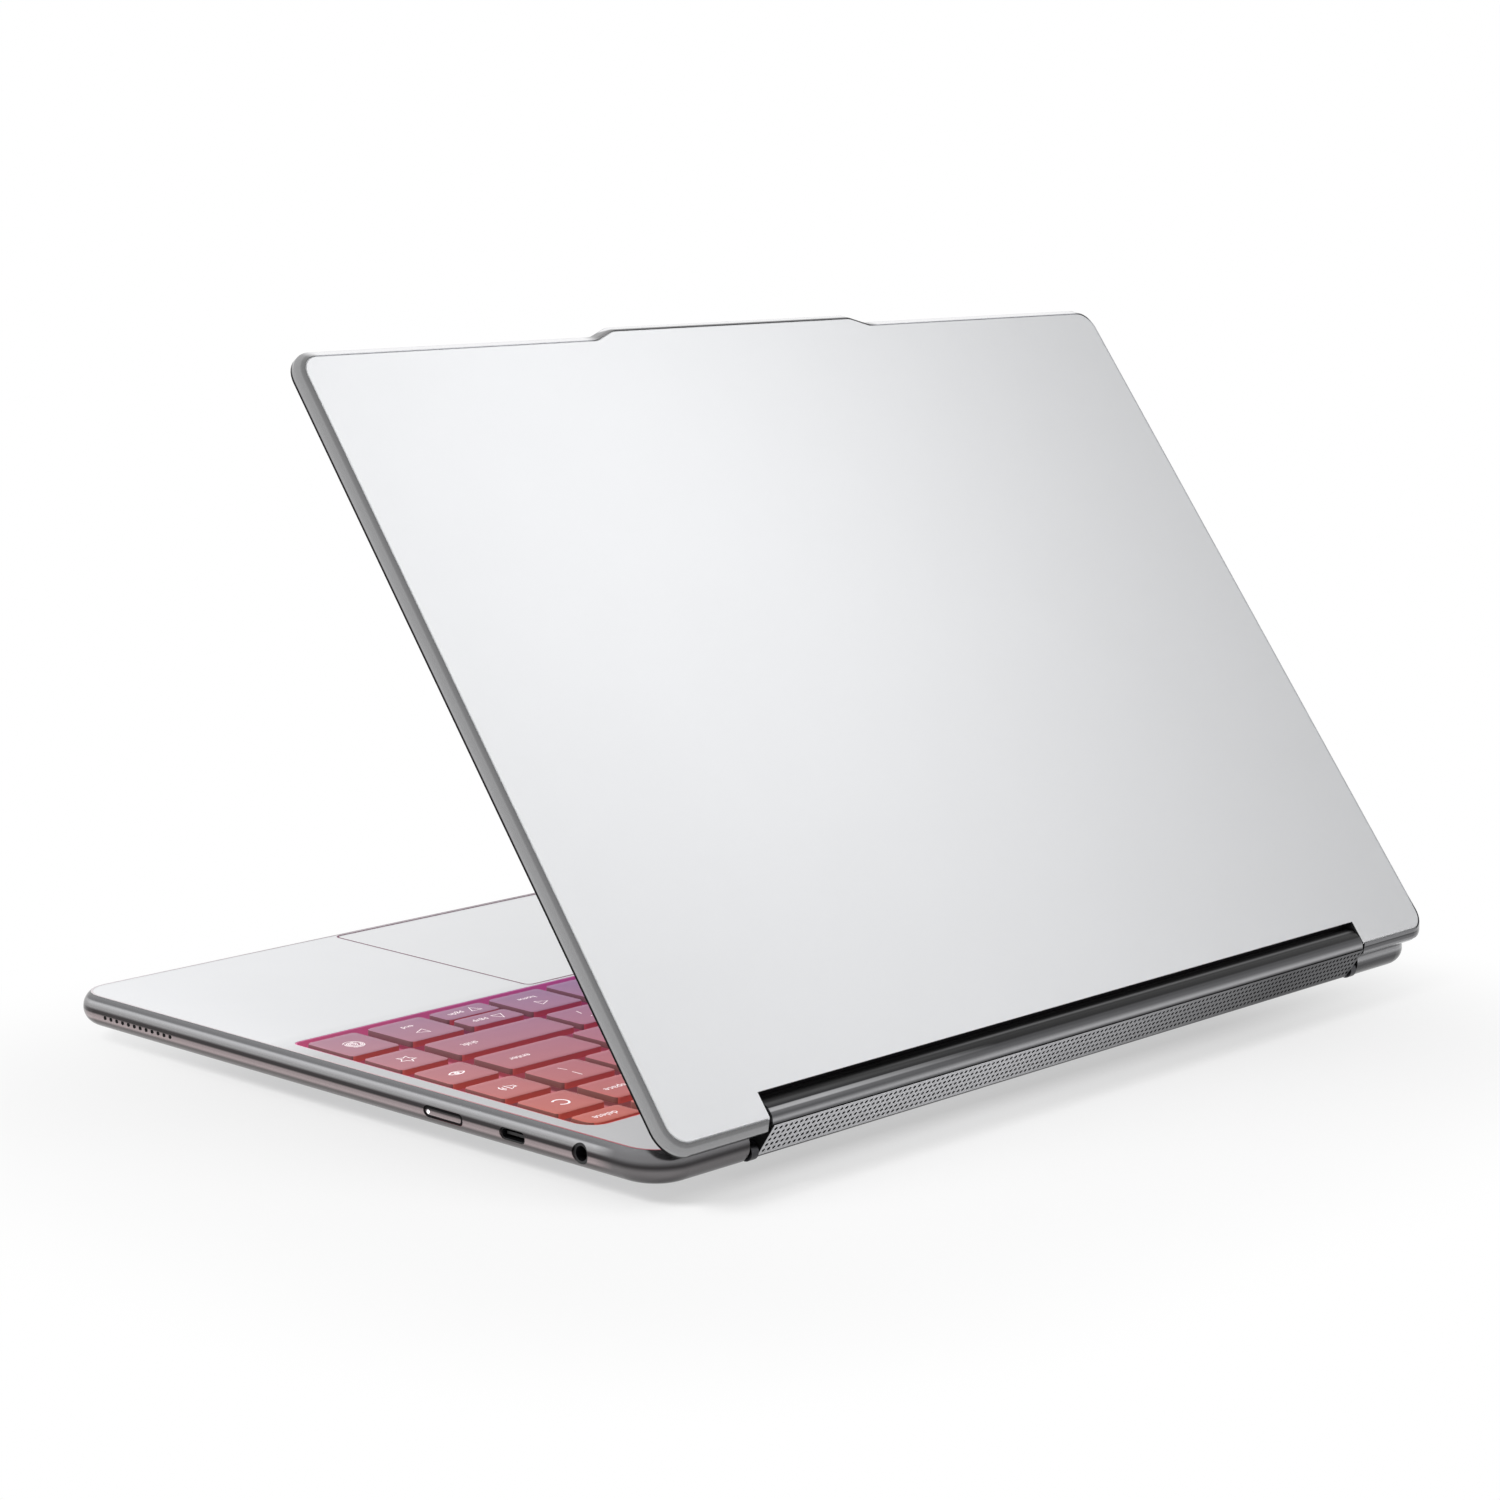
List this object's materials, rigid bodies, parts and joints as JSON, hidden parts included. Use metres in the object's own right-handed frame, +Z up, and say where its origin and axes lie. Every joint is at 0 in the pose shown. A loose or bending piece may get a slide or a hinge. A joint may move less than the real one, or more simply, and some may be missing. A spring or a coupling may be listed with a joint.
{
  "type": "laptop computer",
  "caption": "Convertible laptop computer with a white lid and deck, polished rims, a full-width speaker bar as its hinge link, a colour-lit keyboard and a large touchpad.",
  "frame": {"origin": "middle of the footprint on the table, below the centre of the stored, open pose", "axes": "+X to the user's right along the width, +Y from the user towards the hinge, +Z up"},
  "size_m": [0.316, 0.2172, 0.1857],
  "materials": {
    "white_shell": "satin white coating",
    "touch_surface": "satin white glass",
    "polished_rim": "polished",
    "bar_metal": "satin",
    "grey_shell": "satin",
    "black_trim": "dark moulded",
    "rubber_black": "matte",
    "screen_glass": "gloss black when off",
    "screen_panel": "dark",
    "hinge_steel": "satin",
    "heat_pipe": "copper coloured",
    "board": "board",
    "battery": "wrapped cells",
    "socket": "black",
    "key_tray": "magenta to red",
    "keycap": "matte, mauve to coral"
  },
  "bodies": {
    "base": {"audio_jack": "socket", "base_frame": "polished_rim", "base_hinge_arms": "hinge_steel", "battery": "battery", "bottom_cover": "grey_shell", "deck_plate": "white_shell", "fan_housing_left": "black_trim", "fan_housing_right": "black_trim", "front_foot": "rubber_black", "heat_pipe": "heat_pipe", "heat_sink_left": "hinge_steel", "heat_sink_right": "hinge_steel", "keyboard_tray": "key_tray", "mainboard": "board", "microphone_strip": "board", "processor": "board", "rear_foot": "rubber_black", "storage_card": "board", "touchpad_bracket": "hinge_steel", "usb_c_socket_left": "socket", "usb_c_socket_right": "socket", "wireless_card": "board", "woofer_left": "black_trim", "woofer_right": "black_trim"},
    "bar": {"bar_shell": "bar_metal", "bar_grille": "bar_metal", "bar_end_cap_left": "bar_metal", "bar_end_cap_right": "bar_metal", "bar_tweeters": "black_trim"},
    "lid": {"lid_frame": "polished_rim", "lid_cover": "white_shell", "notch_trim": "black_trim", "screen_gasket": "rubber_black", "display_glass": "screen_glass", "display_panel": "screen_panel", "camera_module": "black_trim", "lid_hinge_pins": "hinge_steel"},
    "keys_modifier_row": {"keys_modifier_row": "keycap"},
    "keys_lower_letters": {"keys_lower_letters": "keycap"},
    "keys_home_letters": {"keys_home_letters": "keycap"},
    "keys_upper_letters": {"keys_upper_letters": "keycap"},
    "keys_number_row": {"keys_number_row": "keycap"},
    "keys_function_row": {"keys_function_row": "keycap"},
    "key_space_bar": {"key_space_bar": "keycap"},
    "key_fingerprint": {"key_fingerprint": "keycap"},
    "key_favourite": {"key_favourite": "keycap"},
    "key_camera": {"key_camera": "keycap"},
    "key_sound": {"key_sound": "keycap"},
    "key_mode": {"key_mode": "keycap"},
    "key_delete": {"key_delete": "keycap"},
    "key_arrow_left": {"key_arrow_left": "keycap"},
    "key_arrow_right": {"key_arrow_right": "keycap"},
    "key_arrow_up": {"key_arrow_up": "keycap"},
    "key_arrow_down": {"key_arrow_down": "keycap"},
    "touchpad": {"touchpad": "touch_surface"},
    "power_button": {"power_button": "polished_rim"},
    "fan_impeller_left": {"fan_impeller_left": "black_trim"},
    "fan_impeller_right": {"fan_impeller_right": "black_trim"}
  },
  "joints": [
    {"name": "bar_turn", "type": "hinge", "parent": "base", "child": "bar", "pos_m": [0, 0.10232, 0.0066], "axis": [-1, 0, 0], "range_deg": [-26.55, 153.45]},
    {"name": "lid_turn", "type": "hinge", "parent": "bar", "child": "lid", "pos_m": [0, 0.10625, 0.01447], "axis": [-1, 0, 0], "range_deg": [-26.55, 153.45]},
    {"name": "keys_modifier_row_press", "type": "slide", "parent": "base", "child": "keys_modifier_row", "axis": [0, 0, -1], "range_m": [0, 0.0014], "stiffness_N_per_m": 500, "springref_m": -0.0005},
    {"name": "keys_lower_letters_press", "type": "slide", "parent": "base", "child": "keys_lower_letters", "axis": [0, 0, -1], "range_m": [0, 0.0014], "stiffness_N_per_m": 500, "springref_m": -0.0005},
    {"name": "keys_home_letters_press", "type": "slide", "parent": "base", "child": "keys_home_letters", "axis": [0, 0, -1], "range_m": [0, 0.0014], "stiffness_N_per_m": 500, "springref_m": -0.0005},
    {"name": "keys_upper_letters_press", "type": "slide", "parent": "base", "child": "keys_upper_letters", "axis": [0, 0, -1], "range_m": [0, 0.0014], "stiffness_N_per_m": 500, "springref_m": -0.0005},
    {"name": "keys_number_row_press", "type": "slide", "parent": "base", "child": "keys_number_row", "axis": [0, 0, -1], "range_m": [0, 0.0014], "stiffness_N_per_m": 500, "springref_m": -0.0005},
    {"name": "keys_function_row_press", "type": "slide", "parent": "base", "child": "keys_function_row", "axis": [0, 0, -1], "range_m": [0, 0.0014], "stiffness_N_per_m": 500, "springref_m": -0.0005},
    {"name": "key_space_bar_press", "type": "slide", "parent": "base", "child": "key_space_bar", "axis": [0, 0, -1], "range_m": [0, 0.0014], "stiffness_N_per_m": 200, "springref_m": -0.0005},
    {"name": "key_fingerprint_press", "type": "slide", "parent": "base", "child": "key_fingerprint", "axis": [0, 0, -1], "range_m": [0, 0.0014], "stiffness_N_per_m": 60, "springref_m": -0.0005},
    {"name": "key_favourite_press", "type": "slide", "parent": "base", "child": "key_favourite", "axis": [0, 0, -1], "range_m": [0, 0.0014], "stiffness_N_per_m": 60, "springref_m": -0.0005},
    {"name": "key_camera_press", "type": "slide", "parent": "base", "child": "key_camera", "axis": [0, 0, -1], "range_m": [0, 0.0014], "stiffness_N_per_m": 60, "springref_m": -0.0005},
    {"name": "key_sound_press", "type": "slide", "parent": "base", "child": "key_sound", "axis": [0, 0, -1], "range_m": [0, 0.0014], "stiffness_N_per_m": 60, "springref_m": -0.0005},
    {"name": "key_mode_press", "type": "slide", "parent": "base", "child": "key_mode", "axis": [0, 0, -1], "range_m": [0, 0.0014], "stiffness_N_per_m": 60, "springref_m": -0.0005},
    {"name": "key_delete_press", "type": "slide", "parent": "base", "child": "key_delete", "axis": [0, 0, -1], "range_m": [0, 0.0014], "stiffness_N_per_m": 60, "springref_m": -0.0005},
    {"name": "key_arrow_left_press", "type": "slide", "parent": "base", "child": "key_arrow_left", "axis": [0, 0, -1], "range_m": [0, 0.0014], "stiffness_N_per_m": 60, "springref_m": -0.0005},
    {"name": "key_arrow_right_press", "type": "slide", "parent": "base", "child": "key_arrow_right", "axis": [0, 0, -1], "range_m": [0, 0.0014], "stiffness_N_per_m": 60, "springref_m": -0.0005},
    {"name": "key_arrow_up_press", "type": "slide", "parent": "base", "child": "key_arrow_up", "axis": [0, 0, -1], "range_m": [0, 0.0014], "stiffness_N_per_m": 30, "springref_m": -0.0005},
    {"name": "key_arrow_down_press", "type": "slide", "parent": "base", "child": "key_arrow_down", "axis": [0, 0, -1], "range_m": [0, 0.0014], "stiffness_N_per_m": 30, "springref_m": -0.0005},
    {"name": "touchpad_press", "type": "slide", "parent": "base", "child": "touchpad", "axis": [0, 0, -1], "range_m": [0, 0.0003], "stiffness_N_per_m": 1200, "springref_m": -0.0005},
    {"name": "power_button_press", "type": "slide", "parent": "base", "child": "power_button", "axis": [-1, 0, 0], "range_m": [0, 0.0005], "stiffness_N_per_m": 60, "springref_m": -0.0005},
    {"name": "fan_right_spin", "type": "hinge", "parent": "base", "child": "fan_impeller_right", "pos_m": [0.084, 0.06252, 0.004], "axis": [0, 0, 1], "continuous": true},
    {"name": "fan_left_spin", "type": "hinge", "parent": "base", "child": "fan_impeller_left", "pos_m": [-0.084, 0.06252, 0.004], "axis": [0, 0, 1], "continuous": true}
  ],
  "couplings": [
    {"joint": "bar_turn", "follows": "lid_turn", "ratio": 1}
  ]
}
